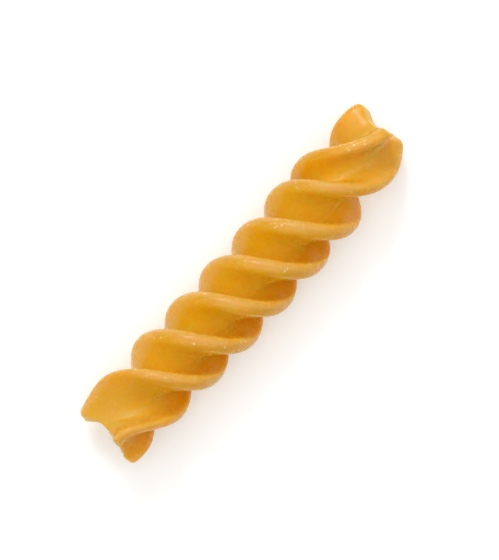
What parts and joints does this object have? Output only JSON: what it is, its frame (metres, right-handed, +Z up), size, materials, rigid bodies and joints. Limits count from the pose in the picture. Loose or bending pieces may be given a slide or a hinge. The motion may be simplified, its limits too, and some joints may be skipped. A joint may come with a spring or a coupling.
{
  "type": "dry fusillo pasta piece",
  "caption": "Short dry pasta spiral with blades twisted round a slim core, rounded rims, hollow cut ends and a slight bow.",
  "frame": {"origin": "centre of the bounding box at table level, where the rims touch the table", "axes": "+X along the piece toward its upper end in the picture, +Z up from the table toward the camera"},
  "size_m": [0.0428, 0.0092, 0.009],
  "materials": {
    "semolina": "satin, warm amber yellow, slightly translucent, paler on the rims and at the cut ends"
  },
  "bodies": {
    "root": {"fusillo": "semolina"}
  },
  "joints": []
}
